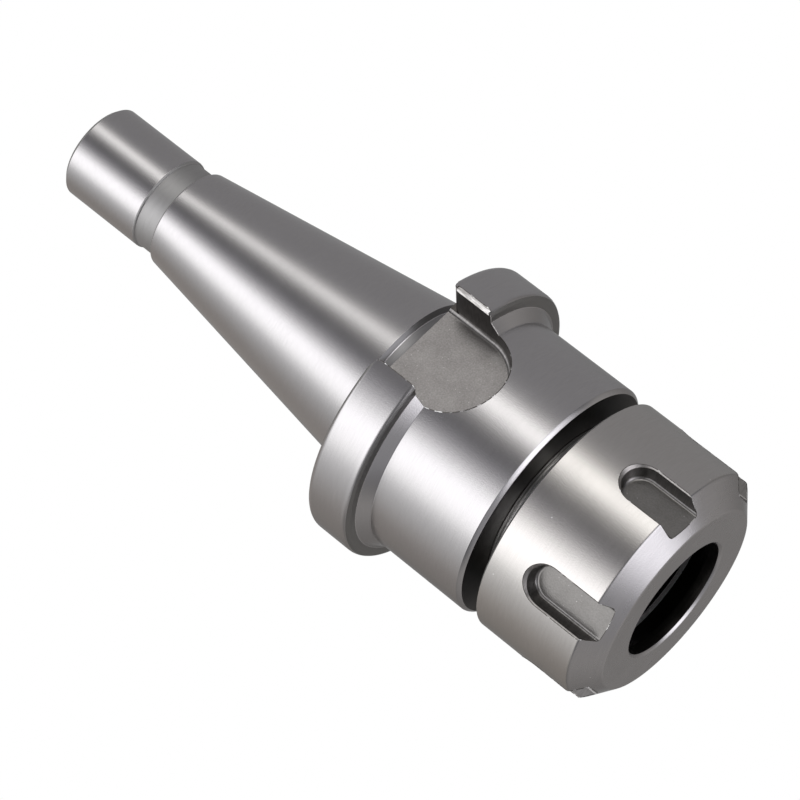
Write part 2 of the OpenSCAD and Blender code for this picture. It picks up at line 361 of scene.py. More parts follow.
# %% A recipe for turned and ground steel
def tool_steel(name, dark, light, smooth, dull, line, turns, depth, dings=0.12):
    """Bare steel with lines round the axis, from dark to light and from smooth to dull."""
    material, tree = new_material(name)
    lines = lines_round_axis(tree, line, turns)
    dots = small_dings(tree, 3, 0.24, dings)
    place = add(tree, "ShaderNodeTexCoord")
    clouds = add(tree, "ShaderNodeTexNoise", [("Vector", place.outputs["Object"])],
                 Scale=0.2 / MM, Detail=3)
    # the grain of the steel is 0.02 mm and drawn 0.2 mm
    grain = add(tree, "ShaderNodeTexNoise", [("Vector", place.outputs["Object"])],
                Scale=5 / MM, Detail=1)
    wiped = add(tree, "ShaderNodeMix", [("Factor", lines), (2, clouds.outputs[0])], [(3, 0.5)])
    rough = add(tree, "ShaderNodeMapRange", [("Value", wiped.outputs[0])],
                From_Min=0.3, From_Max=0.7, To_Min=smooth, To_Max=dull)
    tint = add(tree, "ShaderNodeMix", [("Factor", lines)], [(6, linear(dark)), (7, linear(light))],
               data_type="RGBA")
    worn = add(tree, "ShaderNodeMix", [("Factor", dots), (6, tint.outputs[2])],
               [(7, linear("#efedec"))], data_type="RGBA")
    dents = add(tree, "ShaderNodeMath", [(0, lines), (1, dots)], operation="SUBTRACT")
    cut_lines = add(tree, "ShaderNodeBump", [("Height", dents.outputs[0])], Strength=1,
                    Distance=depth * MM)
    relief = add(tree, "ShaderNodeBump", [("Height", grain.outputs[0]),
                                          ("Normal", cut_lines.outputs[0])],
                 Strength=1, Distance=0.008 * MM)
    steel = add(tree, "ShaderNodeBsdfPrincipled",
                [("Base Color", worn.outputs[2]), ("Roughness", rough.outputs[0]),
                 ("Normal", relief.outputs[0])], Metallic=1)
    add(tree, "ShaderNodeOutputMaterial", [("Surface", steel.outputs[0])])
    return material


# %% [markdown]
# The numbers of a finish are, in this order: darkest and lightest colour,
# smoothest and dullest roughness, width of the lines in mm, how often they
# change on the way round, their depth in mm, and the share of dents. Grinding
# lines are 0.02 mm wide and drawn 0.16 mm, because finer ones don't show.

# %% Finishes of the holder
# ground alloy steel: a near mirror, which draws the softboxes out into long soft bands
ground = tool_steel("ground_alloy_steel", "#bfbdbe", "#cccacb", 0.20, 0.25, 0.16, 10, 0.0012, 0.08)
# turned alloy steel: it keeps the feed of the tool, 0.1 mm, and looks dull next to ground steel
turned = tool_steel("turned_alloy_steel", "#a3a2a2", "#b6b5b5", 0.48, 0.56, 0.2, 3, 0.003, 0.05)
# the thread's relief: a coarse feed; its lines are tinted dark to light with their
# height, painted shade in the grooves and painted highlights on the ridges
relief_shade_and_highlight = tool_steel("relief_steel_painted_shade_and_highlight", "#7a7775", "#e4e2e0", 0.22, 0.30, 0.35, 1, 0.05, 0)
# the groove behind the flange: cut with a form tool and never ground; its darker
# tint is painted shade, as the groove lies deep between the taper and the flange
groove_shade = tool_steel("painted_shade_groove_steel", "#8a898a", "#9d9c9d", 0.36, 0.44, 0.2, 3, 0.004, 0)
# the ledges of the flange: turned and left; their dark tint is painted shade, which
# makes them the darkest bands on the outside
ledge_shade = tool_steel("painted_shade_ledge_steel", "#7b7a79", "#8a8988", 0.34, 0.42, 0.25, 4, 0.004, 0)
# nearly black steel with a sheen: painted shade in the threads, the bores and the
# gap between body and nut
recess_shade = tool_steel("painted_shade_recess_steel", "#252423", "#3c3a38", 0.30, 0.42, 0.3, 3, 0.006, 0)
print("holder finishes:", [m.name for m in bpy.data.materials if "steel" in m.name])

# %% [markdown]
# The nut is screwed on and off with a spanner and a collet is pulled through
# it, so it has more dents outside. The two bright rings inside are painted
# highlights.

# %% Finishes of the nut
# the rim: ground, a shade brighter than the holder, with the dents of spanners
rim = tool_steel("nut_rim_steel", "#c6c3c0", "#d3d0ce", 0.22, 0.28, 0.16, 8, 0.0012, 0.30)
# the face and chamfer: turned with a fine feed, which makes their light even and silky
front = tool_steel("nut_front_steel", "#b4b2b3", "#c3c1c2", 0.23, 0.31, 0.18, 6, 0.003, 0.2)
# a near-white ring on the clamping cone: a painted highlight inside the nut
ring_highlight = tool_steel("painted_highlight_ring_steel", "#e9e7ea", "#ffffff", 0.50, 0.60, 0.3, 2, 0.004, 0)
# a painted highlight line: light steel on the nut's lip and at the groove's corner
line_highlight = tool_steel("painted_highlight_line_steel", "#c8c6c8", "#dcdadc", 0.22, 0.30, 0.2, 6, 0.002, 0)
print("nut finishes:", [m.name for m in (rim, front, ring_highlight, line_highlight)])

# %% [markdown]
# The slots were milled and then blasted with grit, which made their floors
# matte and speckled. Two noises mix into the patches, one fine for the grit and
# one coarse for the stains, and small light dots are painted glints.

# %% Blasted slot floors
def blasted(name, dark, light, rough, painted_glints):
    """Milled steel after a grit blast: patches from dark to light with painted glints."""
    material, tree = new_material(name)
    place = add(tree, "ShaderNodeTexCoord")
    # grit leaves dents of 0.1 mm, drawn 0.25 mm
    grit = add(tree, "ShaderNodeTexNoise", [("Vector", place.outputs["Object"])],
               Scale=4 / MM, Detail=2, Roughness=0.7)
    patches = add(tree, "ShaderNodeTexNoise", [("Vector", place.outputs["Object"])],
                  Scale=0.35 / MM, Detail=3)
    glints = small_dings(tree, 0.4, 0.12, painted_glints)
    mixed = add(tree, "ShaderNodeMix", [(2, grit.outputs[0]), (3, patches.outputs[0])], [(0, 0.35)])
    tint = add(tree, "ShaderNodeValToRGB", [("Fac", mixed.outputs[0])])
    for stop, place, colour in zip(tint.color_ramp.elements, (0.32, 0.68), (dark, light)):
        stop.position, stop.color = place, linear(colour)
    bright = add(tree, "ShaderNodeMix", [("Factor", glints), (6, tint.outputs[0])],
                 [(7, linear("#cfcdcb"))], data_type="RGBA")
    relief = add(tree, "ShaderNodeBump", [("Height", grit.outputs[0])], Strength=1,
                 Distance=0.02 * MM)
    steel = add(tree, "ShaderNodeBsdfPrincipled", [("Base Color", bright.outputs[2]),
                                                   ("Normal", relief.outputs[0])],
                Metallic=1, Roughness=rough)
    add(tree, "ShaderNodeOutputMaterial", [("Surface", steel.outputs[0])])
    return material


# the drive slots' floors: warm, matte and salted with painted glints
drive_floor = blasted("blasted_slot_floor", "#858281", "#a3a09f", 0.38, 0.10)
# the spanner slots' floors: darker and rubbed smoother by the spanner
spanner_floor = blasted("spanner_slot_floor", "#7a7876", "#8c8a88", 0.30, 0.04)
print("floors:", drive_floor.name, spanner_floor.name)

# %% [markdown]
# The flank of an end mill leaves upright marks on a wall. A noise that is
# squeezed along the axis gives them, because the mill stood across it.

# %% Milled slot walls
def milled(name, dark, light, rough):
    """Milled steel with the marks of the teeth, from dark to light."""
    material, tree = new_material(name)
    place = add(tree, "ShaderNodeTexCoord")
    drawn = add(tree, "ShaderNodeMapping", [("Vector", place.outputs["Object"])], Scale=(1, 1, 7))
    # the teeth leave marks of 0.1 mm, drawn 0.3 mm
    marks = add(tree, "ShaderNodeTexNoise", [("Vector", drawn.outputs[0])],
                Scale=0.5 / MM, Detail=3, Roughness=0.6)
    tint = add(tree, "ShaderNodeValToRGB", [("Fac", marks.outputs[0])])
    for stop, place, colour in zip(tint.color_ramp.elements, (0.35, 0.66), (dark, light)):
        stop.position, stop.color = place, linear(colour)
    relief = add(tree, "ShaderNodeBump", [("Height", marks.outputs[0])], Strength=1,
                 Distance=0.006 * MM)
    steel = add(tree, "ShaderNodeBsdfPrincipled", [("Base Color", tint.outputs[0]),
                                                   ("Normal", relief.outputs[0])],
                Metallic=1, Roughness=rough)
    add(tree, "ShaderNodeOutputMaterial", [("Surface", steel.outputs[0])])
    return material


# the drive slots' walls: milled steel tinted nearly black, as painted shade in the deep slots
drive_wall_shade = milled("milled_slot_wall_painted_shade", "#4c4947", "#5f5c59", 0.34)
# the spanner slots' walls: rubbed, so a middle grey
spanner_wall = milled("spanner_slot_wall", "#767473", "#858382", 0.36)
# the fillet along a floor: the mill's corner rolled it smooth, and it carries a line of light
slot_fillet = milled("rolled_slot_fillet", "#7a7877", "#918f8e", 0.28)
# the broken rim of a spanner slot: a narrow light frame round the dark wall
slot_break = milled("broken_slot_rim", "#9a9795", "#b5b2b0", 0.38)
print("walls:", [m.name for m in (drive_wall_shade, spanner_wall, slot_fillet, slot_break)])

# %% [markdown]
# A file leaves long strokes. They run along the edge that it broke, which is
# along the axis, so here the noise is stretched that way.

# %% Filed steel
# filed steel: white with grey strokes 0.3 mm wide, the brightest surface of all;
# its near-white colour is partly a painted highlight
filed_highlight, tree = new_material("filed_steel_painted_highlight")
place = add(tree, "ShaderNodeTexCoord")
drawn = add(tree, "ShaderNodeMapping", [("Vector", place.outputs["Object"])], Scale=(1, 1, 0.15))
strokes = add(tree, "ShaderNodeTexNoise", [("Vector", drawn.outputs[0])],
              Scale=3.0 / MM, Detail=3, Roughness=0.6)
tint = add(tree, "ShaderNodeValToRGB", [("Fac", strokes.outputs[0])])
for stop, place, colour in zip(tint.color_ramp.elements, (0.36, 0.60), ("#aaa7a4", "#f7f5f3")):
    stop.position, stop.color = place, linear(colour)
relief = add(tree, "ShaderNodeBump", [("Height", strokes.outputs[0])], Strength=1,
             Distance=0.02 * MM)
steel = add(tree, "ShaderNodeBsdfPrincipled", [("Base Color", tint.outputs[0]),
                                               ("Normal", relief.outputs[0])],
            Metallic=1, Roughness=0.45)
add(tree, "ShaderNodeOutputMaterial", [("Surface", steel.outputs[0])])
print("made", filed_highlight.name)

# %% [markdown]
# Where a mill leaves the metal it turns up a thin burr. It is coloured as a dark
# thread of painted shade, broken by painted glints in short runs of about a
# millimetre.

# %% Burred edge
# burred steel: painted shade as a dark thread along the edge, with white ticks as
# painted glints
burr_shade_and_glints, tree = new_material("burr_painted_shade_and_glints")
place = add(tree, "ShaderNodeTexCoord")
runs = add(tree, "ShaderNodeTexNoise", [("Vector", place.outputs["Object"])],
           Scale=0.8 / MM, Detail=3, Roughness=0.7)
tint = add(tree, "ShaderNodeValToRGB", [("Fac", runs.outputs[0])])
for stop, place, colour in zip(tint.color_ramp.elements, (0.54, 0.61), ("#55524f", "#ffffff")):
    stop.position, stop.color = place, linear(colour)
relief = add(tree, "ShaderNodeBump", [("Height", runs.outputs[0])], Strength=1, Distance=0.15 * MM)
steel = add(tree, "ShaderNodeBsdfPrincipled", [("Base Color", tint.outputs[0]),
                                               ("Normal", relief.outputs[0])],
            Metallic=1, Roughness=0.32)
add(tree, "ShaderNodeOutputMaterial", [("Surface", steel.outputs[0])])
print("finishes:", len(bpy.data.materials))

# %% [markdown]
# ## Profiles
# A drawing of a lathe piece gives its profile: a list of stations, each a
# radius and a height. Rounded corners are worked out, as arcs or as eased
# corners between two sides.

# %% Helpers for profiles
def arc(centre_r, centre_z, radius, start, end, steps=8):
    """Stations along an arc between two angles in degrees."""
    angles = [math.radians(start + (end - start) * i / steps) for i in range(steps + 1)]
    return [(centre_r + radius * math.cos(a), centre_z + radius * math.sin(a)) for a in angles]


def eased(before, corner, after, cut, steps=4):
    """A corner of a profile, rounded off over that length of its two sides."""
    b, c, a = Vector(before), Vector(corner), Vector(after)
    start = c + (b - c).normalized() * cut
    end = c + (a - c).normalized() * cut
    shares = [i / steps for i in range(steps + 1)]
    return [tuple(start.lerp(c, t).lerp(c.lerp(end, t), t)) for t in shares]


print("a corner of radius 1 mm:", [(round(r, 2), round(z, 2)) for r, z in arc(0, 0, 1, 0, 90, 2)])

# %% [markdown]
# ## Turning on a lathe
# A lathe piece could be spun from its profile or got from a Screw modifier.
# Here it starts as one ring of points that is extruded, moved and scaled from
# station to station, as the tool follows the profile. That also makes the one
# shape that isn't round about the axis: the nut's lip, whose stations have
# their distance from the axis as a third number.

# %% Helper for lathe work
RING = 360  # points round the axis: one per degree
NUT_TURN = math.radians(7.8)  # how far the nut is turned on its thread


def turn(name, stations):
    """A piece turned along its stations. It is left in edit mode with its last ring selected."""
    radius, z = stations[0][:2]
    bpy.ops.mesh.primitive_circle_add(vertices=RING, radius=radius * MM, location=(0, 0, z * MM))
    piece = bpy.context.object
    piece.name = name
    bpy.ops.object.transform_apply(location=True)
    bpy.ops.object.mode_set(mode="EDIT")
    bpy.ops.mesh.select_mode(type="VERT")
    bpy.ops.mesh.select_all(action="SELECT")
    aside = Vector((math.cos(NUT_TURN), math.sin(NUT_TURN), 0))
    off = 0
    for station in stations[1:]:
        r, h, o = station if len(station) == 3 else (*station, 0)
        step = (aside * (o - off) + Vector((0, 0, h - z))) * MM
        bpy.ops.mesh.extrude_region_move(TRANSFORM_OT_translate={"value": step})
        centre = (aside * o + Vector((0, 0, h))) * MM
        if r != radius:
            grow = r / radius
            bpy.ops.transform.resize(value=(grow, grow, 1), center_override=centre)
        radius, z, off = r, h, o
    return piece


# %% [markdown]
# Work on a part of a piece starts with picking that part out. In a window it
# is clicked on. Here it is picked by its place, its normal or its finish.

# %% Helpers for picking
def work_on(piece):
    """Selects that piece alone and makes it the active one."""
    bpy.ops.object.select_all(action="DESELECT")
    bpy.context.view_layer.objects.active = piece
    piece.select_set(True)


def pick(piece, kind, test):
    """Selects the faces, edges or verts of the piece in edit mode that pass the test."""
    bpy.ops.mesh.select_mode(type=kind)
    bpy.ops.mesh.select_all(action="DESELECT")
    mesh = bmesh.from_edit_mesh(piece.data)
    found = 0
    for item in {"VERT": mesh.verts, "EDGE": mesh.edges, "FACE": mesh.faces}[kind]:
        if test(item):
            item.select_set(True)
            found += 1
    mesh.select_flush_mode()
    bmesh.update_edit_mesh(piece.data)
    return found


def middle(item):
    """The radius and height in mm of the middle of a face or edge."""
    points = [v.co for v in item.verts]
    m = sum(points, Vector()) / len(points)
    return math.hypot(m.x, m.y) / MM, m.z / MM


# %% [markdown]
# ## The holder
# The real holder is one piece. Its profile is followed from the drill point
# inside the bore, down the collet seat, round the nose and up to the pilot,
# then down the drawbar hole.

# %% Draw the holder's profile
seat_way = [(9.0, 57.0), (9.0, 39.0), (9.402, 39.0), (13.0, 13.4), (13.4, 13.0)]
nose_way = [(14.28, 13.0), (15.08, 13.8), (15.08, 21.72), (14.6, 22.2), (14.6, 24.8)]
body_way = [(20.4, 24.8), (21.1, 25.5), (21.1, 43.0), (22.75, 44.65)]
flange_way = eased((22.75, 44.65), (25.0, 44.6), (25.0, 46.2), 1.3, 6)
flange_way += arc(23.9, 51.8, 1.1, 0, 90, 6)
groove_way = arc(15.7, 53.6, 0.7, -90, -180, 5)
groove_way += eased((15.0, 53.6), (15.0, 54.9), (15.7, 55.6), 0.08, 2)
taper_way = [(15.7, 55.6), (8.861, 102.5), (8.517, 102.8)]
pilot_way = [(8.0, 102.8), (8.0, 106.8), (8.2, 106.8), (8.35, 107.1), (8.35, 122.2), (7.75, 122.8)]
drawbar_way = [(7.1, 122.8), (6.0, 121.7), (6.0, 97.0), (5.1, 96.0), (5.1, 88.8)]
outside = seat_way + nose_way + body_way + flange_way + groove_way + taper_way + pilot_way
print("stations on the holder:", len(outside + drawbar_way))

# %% [markdown]
# Both bores end in the point of a drill, which is 118 degrees wide. So the
# first and the last ring are extruded once more and drawn to a point, and the
# piece is closed.

# %% Turn the holder
DRILL_POINT = math.tan(math.radians(118 / 2))
holder = turn("holder_steel", outside + drawbar_way)
bpy.ops.mesh.extrude_region_move(TRANSFORM_OT_translate={"value": (0, 0, -5.1 / DRILL_POINT * MM)})
bpy.ops.mesh.merge(type="CENTER")
pick(holder, "VERT", lambda v: v.index < RING)
bpy.ops.mesh.extrude_region_move(TRANSFORM_OT_translate={"value": (0, 0, 9.0 / DRILL_POINT * MM)})
bpy.ops.mesh.merge(type="CENTER")
bpy.ops.mesh.select_all(action="SELECT")
bpy.ops.mesh.normals_make_consistent(inside=False)
print("holder turned with", len(bmesh.from_edit_mesh(holder.data).faces), "faces")

# %% [markdown]
# No edge on a real tool is perfectly sharp. Each corner ring of the profile
# gets a bevel of a tenth of a millimetre, which catches a thin line of light.
# The end of the shank has its own chamfers and is left out.

# %% Break the holder's turned edges
SHARP = math.radians(24)
EDGE_BREAK = 0.1 * MM
bpy.ops.mesh.select_mode(type="EDGE")
bpy.ops.mesh.select_all(action="DESELECT")
bpy.ops.mesh.edges_select_sharp(sharpness=SHARP)
mesh = bmesh.from_edit_mesh(holder.data)
for edge in mesh.edges:
    if edge.verts[0].co.z > 122 * MM:
        edge.select_set(False)
bmesh.update_edit_mesh(holder.data)
bpy.ops.mesh.bevel(offset=EDGE_BREAK, segments=2, clamp_overlap=True)
bpy.ops.object.mode_set(mode="OBJECT")
holder.data.materials.append(ground)
print("holder now has", len(holder.data.polygons), "faces")

# %% [markdown]
# ## The clamping nut
# The nut is a closed ring section. It is followed from the front opening over
# the face, the chamfer and the rim, back through the thread, the run-out
# groove, the off-centre lip that pulls the collet out, and the clamping cone.

# %% Draw the nut's profile
LIP_OFF = 0.8  # how far the lip's centre is from the axis
front_way = [(10.85, 0)] + eased((10.85, 0), (16.7, 0), (21.0, 3.5), 0.25)
rim_way = eased((16.7, 0), (21.0, 3.5), (21.0, 21.4), 0.4)
rim_way += [(21.0, 21.4), (20.2, 21.9), (16.5, 21.9), (16.0, 21.4)]
thread_way = [(16.0, 12.5), (16.6, 11.9), (16.6, 9.7)]
lip_way = [(12.4, 9.7, LIP_OFF), (12.4, 8.2, LIP_OFF)]
cone_way = [(13.3, 8.2), (13.3, 7.136), (12.643, 6.0), (12.124, 5.1), (10.45, 2.2), (10.45, 0.4)]
nut_way = front_way + rim_way + thread_way + lip_way + cone_way
print("stations on the nut:", len(nut_way))

# %% [markdown]
# The last ring meets the first one, and a bridge of faces closes the section.
# The same small bevel as on the holder breaks the edges.

# %% Turn the nut
nut = turn("nut_steel_ring", nut_way)
last = len(bmesh.from_edit_mesh(nut.data).verts) - RING
pick(nut, "VERT", lambda v: v.index < RING or v.index >= last)
bpy.ops.mesh.select_mode(type="EDGE")
bpy.ops.mesh.bridge_edge_loops()
bpy.ops.mesh.select_all(action="SELECT")
bpy.ops.mesh.normals_make_consistent(inside=False)
bpy.ops.mesh.select_all(action="DESELECT")
bpy.ops.mesh.edges_select_sharp(sharpness=SHARP)
bpy.ops.mesh.bevel(offset=EDGE_BREAK, segments=2, clamp_overlap=True)
bpy.ops.object.mode_set(mode="OBJECT")
nut.data.materials.append(rim)
print("nut turned with", len(nut.data.polygons), "faces")

# %% [markdown]
# ## End-mill slots
# A slot is the path of a round end mill: half a cylinder where it stopped and
# a straight block out of the open end, with the mill's corner radius left along
# the floor. The slot could be modelled into the wall of the piece, face by
# face. It is simpler to model the path as a solid and take it away.

# %% Helper for the round of an end mill
def mill_round(name, width, floor_r, centre_z, rings):
    """The round of an end mill on the -Y side, left in edit mode. Each ring is a height over the
    floor in mm and how much wider the mill's half width is there. The last ring is the top."""
    bpy.ops.mesh.primitive_circle_add(
        vertices=96, radius=width / 2 * MM, fill_type="NGON",
        location=(0, -floor_r * MM, centre_z * MM), rotation=(math.radians(90), 0, 0))
    path = bpy.context.object
    path.name = name
    bpy.ops.object.transform_apply(location=True, rotation=True)
    bpy.ops.object.mode_set(mode="EDIT")
    bpy.ops.mesh.select_mode(type="FACE")
    bpy.ops.mesh.select_all(action="SELECT")
    low, wide = 0, 0
    for height, wider in rings:
        bpy.ops.mesh.extrude_region_move(
            TRANSFORM_OT_translate={"value": (0, -(height - low) * MM, 0)})
        grow = (width / 2 + wider) / (width / 2 + wide)
        bpy.ops.transform.resize(value=(grow, 1, grow),
                                 center_override=(0, -(floor_r + height) * MM, centre_z * MM))
        low, wide = height, wider
    bpy.ops.mesh.select_all(action="SELECT")
    bpy.ops.mesh.normals_make_consistent(inside=False)
    return path


# %% [markdown]
# Half of the round stays where the mill stopped. Its flat side is drawn out to
# the open end, and the edge along the floor gets the radius of the mill's
# corners, but not the two edges across the floor.

# %% Helper for the straight way of an end mill
def mill_way(path, fillet, floor_r, centre_z, open_z):
    """Draws the round out from its centre to the open end, with a fillet along the floor."""
    way = 1 if open_z > centre_z else -1
    bpy.ops.mesh.bisect(plane_co=(0, 0, centre_z * MM), plane_no=(0, 0, way), use_fill=True,
                        clear_outer=True)
    pick(path, "FACE", lambda f: abs(f.normal.z) > 0.999 and abs(middle(f)[1] - centre_z) < 0.01)
    bpy.ops.mesh.extrude_region_move(
        TRANSFORM_OT_translate={"value": (0, 0, (open_z - centre_z) * MM)})
    pick(path, "EDGE", lambda e: all(abs(v.co.y + floor_r * MM) < 1e-6 for v in e.verts)
         and not all(abs(v.co.z - open_z * MM) < 1e-6 for v in e.verts)
         and not all(abs(v.co.z - centre_z * MM) < 1e-6 for v in e.verts))
    bpy.ops.mesh.bevel(offset=fillet * MM, segments=6)
    bpy.ops.mesh.select_all(action="SELECT")
    bpy.ops.mesh.normals_make_consistent(inside=False)
    bpy.ops.object.mode_set(mode="OBJECT")


# %% [markdown]
# The faces of the path become the faces of the slot, so they get their finish
# first: the floor by its normal, the rest by its height over the floor.

# %% Helper for the finishes of a slot
def finish_path(path, floor_r, fillet, rim_height, finishes):
    """Gives floor, fillet, wall and, over that height in mm, the rim their finishes in turn."""
    for finish in finishes:
        path.data.materials.append(finish)
    for face in path.data.polygons:
        height = -face.center.y / MM - floor_r
        if face.normal.y > 0.97:
            face.material_index = 0
        elif height > rim_height:
            face.material_index = 3
        elif height < fillet:
            face.material_index = 1
        else:
            face.material_index = 2


# %% [markdown]
# A mill is set up once and the piece is indexed on to the next slot. The same
# is done here: one path is modelled, copied round the axis, and each copy is
# taken away with a Boolean that hands over its finishes.

# %% Helpers for cutting all round
def cut(piece, tools):
    """Takes each tool away from the piece."""
    for tool in tools:
        milling = piece.modifiers.new("cut", "BOOLEAN")
        milling.operation = "DIFFERENCE"
        milling.solver = "EXACT"
        milling.material_mode = "TRANSFER"
        milling.object = tool
        work_on(piece)
        bpy.ops.object.modifier_apply(modifier=milling.name)
        bpy.data.objects.remove(tool)


def copies_round(tool, count, start, step):
    """Copies of the tool, turned about the axis by start and then by step each."""
    made = []
    for i in range(count):
        work_on(tool)
        bpy.ops.object.duplicate()
        made.append(bpy.context.object)
        made[-1].data.transform(Matrix.Rotation(start + i * step, 4, "Z"))
    bpy.data.objects.remove(tool)
    return made


# %% [markdown]
# Two keys on the machine's spindle drive the chuck through its flange. Their
# slots lie across from each other, and the mill ran out of them into the body,
# which leaves the round end.

# %% Mill the drive slots
DRIVE_WIDTH, DRIVE_FILLET, DRIVE_FLOOR_R, DRIVE_END = 16.8, 0.8, 16.2, 44.25
drive = mill_round("drive_mill", DRIVE_WIDTH, DRIVE_FLOOR_R, DRIVE_END, ((26 - DRIVE_FLOOR_R, 0),))
mill_way(drive, DRIVE_FILLET, DRIVE_FLOOR_R, DRIVE_END, open_z=54)
# the walls get nearly black steel as painted shade
finish_path(drive, DRIVE_FLOOR_R, DRIVE_FILLET, math.inf, (drive_floor, slot_fillet, drive_wall_shade))
cut(holder, copies_round(drive, 2, 0, math.pi))
print("drive slots milled:", [m.name for m in holder.data.materials])

# %% [markdown]
# At the rear of the flange the drive slots open with rounded corners, which
# lead the key of the spindle in. A second tool starts at the width of the slot
# and widens on a quarter round as it goes up.

# %% Round the mouths of the drive slots
MOUTH_LOW, MOUTH_ROUND = 51.2, 1.3
bpy.ops.object.select_all(action="DESELECT")
bpy.ops.mesh.primitive_plane_add(size=1, location=(0, -21.3 * MM, (MOUTH_LOW - 0.1) * MM))
mouth = bpy.context.object
half, level = (DRIVE_WIDTH - 0.1) / 2, MOUTH_LOW - 0.1
mouth.scale = (2 * half * MM, 9.4 * MM, 1)
bpy.ops.object.transform_apply(location=True, scale=True)
bpy.ops.object.mode_set(mode="EDIT")
bpy.ops.mesh.select_all(action="SELECT")
steps = [(DRIVE_WIDTH / 2 + MOUTH_ROUND * (1 - math.cos(math.radians(angle))),
          MOUTH_LOW + MOUTH_ROUND * math.sin(math.radians(angle))) for angle in range(0, 90, 15)]
for wide, z in steps + [(9.7, 52.5), (10.3, 53.1)]:
    bpy.ops.mesh.extrude_region_move(TRANSFORM_OT_translate={"value": (0, 0, (z - level) * MM)})
    bpy.ops.transform.resize(value=(wide / half, 1, 1), center_override=(0, 0, z * MM))
    half, level = wide, z
bpy.ops.mesh.select_all(action="SELECT")
bpy.ops.mesh.normals_make_consistent(inside=False)
bpy.ops.object.mode_set(mode="OBJECT")
# the mouths get the walls' painted shade too
mouth.data.materials.append(drive_wall_shade)
cut(holder, copies_round(mouth, 2, 0, math.pi))
print("holder:", len(holder.data.polygons), "faces")

# %% [markdown]
# The nut has six slots for the spanner's teeth. They were milled to two
# lengths in turn, with a cutter whose flank leans by 8 degrees, and their rim
# was broken at 45 degrees.

# %% Mill the spanner slots
SPANNER_WIDTH, SPANNER_FILLET, SPANNER_FLOOR_R = 6.2, 0.5, 18.2
RIM_HEIGHT = 2.3  # where the wall ends and the broken rim starts, over the floor
leaned = RIM_HEIGHT * math.tan(math.radians(8))
rings = ((RIM_HEIGHT, leaned), (RIM_HEIGHT + 2, leaned + 2))
for length, start in ((12.6, 0), (14.8, 60)):
    centre_z = length - SPANNER_WIDTH / 2
    spanner = mill_round("spanner_mill", SPANNER_WIDTH, SPANNER_FLOOR_R, centre_z, rings)
    mill_way(spanner, SPANNER_FILLET, SPANNER_FLOOR_R, centre_z, open_z=-1)
    finish_path(spanner, SPANNER_FLOOR_R, SPANNER_FILLET, RIM_HEIGHT,
                (spanner_floor, slot_fillet, spanner_wall, slot_break))
    cut(nut, copies_round(spanner, 3, NUT_TURN + math.radians(start), math.radians(120)))
print("spanner slots milled:", [m.name for m in nut.data.materials])

# %% [markdown]
# A file was run along one edge of the flange where the near drive slot cuts
# it, and left a rough facet, whose white colour is partly a painted highlight.
# Faces could be bevelled there. A block that stands across the corner takes away
# a clean flat, as the file does.

# %% File the corner of the drive slot
half = DRIVE_WIDTH / 2
corner = Vector((half, -math.sqrt(25 ** 2 - half ** 2), 0))
outward = (corner.normalized() + Vector((-1, 0, 0))).normalized()
BLOCK, FILED_DEEP, FILED_LONG, FILED_Z = 4, 0.62, 6.6, 48.4
place = corner + outward * (BLOCK / 2 - FILED_DEEP) + Vector((0, 0, FILED_Z))
bpy.ops.mesh.primitive_cube_add(size=1, location=place * MM,
                                rotation=(0, math.radians(0.5), math.atan2(outward.y, outward.x)))
file_block = bpy.context.object
file_block.scale = (BLOCK * MM, BLOCK * MM, FILED_LONG * MM)
bpy.ops.object.transform_apply(location=True, rotation=True, scale=True)
# the facet's near-white steel is partly a painted highlight
file_block.data.materials.append(filed_highlight)
cut(holder, [file_block])
print("filed:", [m.name for m in holder.data.materials])

# %% [markdown]
# A material is given to faces through a slot of the piece. These two helpers
# find or make the slot and paint the faces that pass a test of their radius
# and height, if wanted only those that no mill has cut.

# %% Helpers for painting faces
def slot_of(piece, material):
    """The number of the material's slot on the piece, which is made if it isn't there."""
    if material.name not in piece.data.materials:
        piece.data.materials.append(material)
    return piece.data.materials.find(material.name)


def paint(piece, material, test, uncut=False):
    """Gives the material to the faces whose radius and height in mm pass the test."""
    work_on(piece)
    piece.active_material_index = slot_of(piece, material)
    bpy.ops.object.mode_set(mode="EDIT")
    found = pick(piece, "FACE", lambda f: test(*middle(f)) and not (uncut and f.material_index))
    bpy.ops.object.material_slot_assign()
    bpy.ops.object.mode_set(mode="OBJECT")
    print(" ", piece.name, material.name, found, "faces")


# %% [markdown]
# Where a spanner slot runs out through the nut's chamfer, its edges were
# broken too. A bevel on the edges between the walls and the chamfer does it,
# and its new faces get the finish of the rim.

# %% Break the ends of the spanner slots
work_on(nut)
rim_break, wall = slot_of(nut, slot_break), slot_of(nut, spanner_wall)


def chamfer_corner(edge):
    """True for an edge between a spanner slot's wall and the nut's chamfer."""
    sides = edge.link_faces
    return (len(sides) == 2 and wall in {f.material_index for f in sides}
            and any(f.material_index == 0 and -0.9 < f.normal.z < -0.5 for f in sides))


bpy.ops.object.mode_set(mode="EDIT")
found = pick(nut, "EDGE", chamfer_corner)
bpy.ops.mesh.bevel(offset=0.34 * MM, segments=1, material=rim_break, clamp_overlap=True)
bpy.ops.object.mode_set(mode="OBJECT")
print("slot ends broken on the chamfer:", found)

# %% [markdown]
# The burr stands along the outer edges of the slots. A bevel there would be
# cut short by the tiny edges that a Boolean leaves. So a copy of the edges is
# turned into a curve with a thickness of its own, which is a bead like the
# real burr, and then into a mesh.

# %% Helper for the burr of a slot
SLOT_FINISHES = (drive_floor, spanner_floor, drive_wall_shade, spanner_wall, slot_fillet, slot_break, filed_highlight)


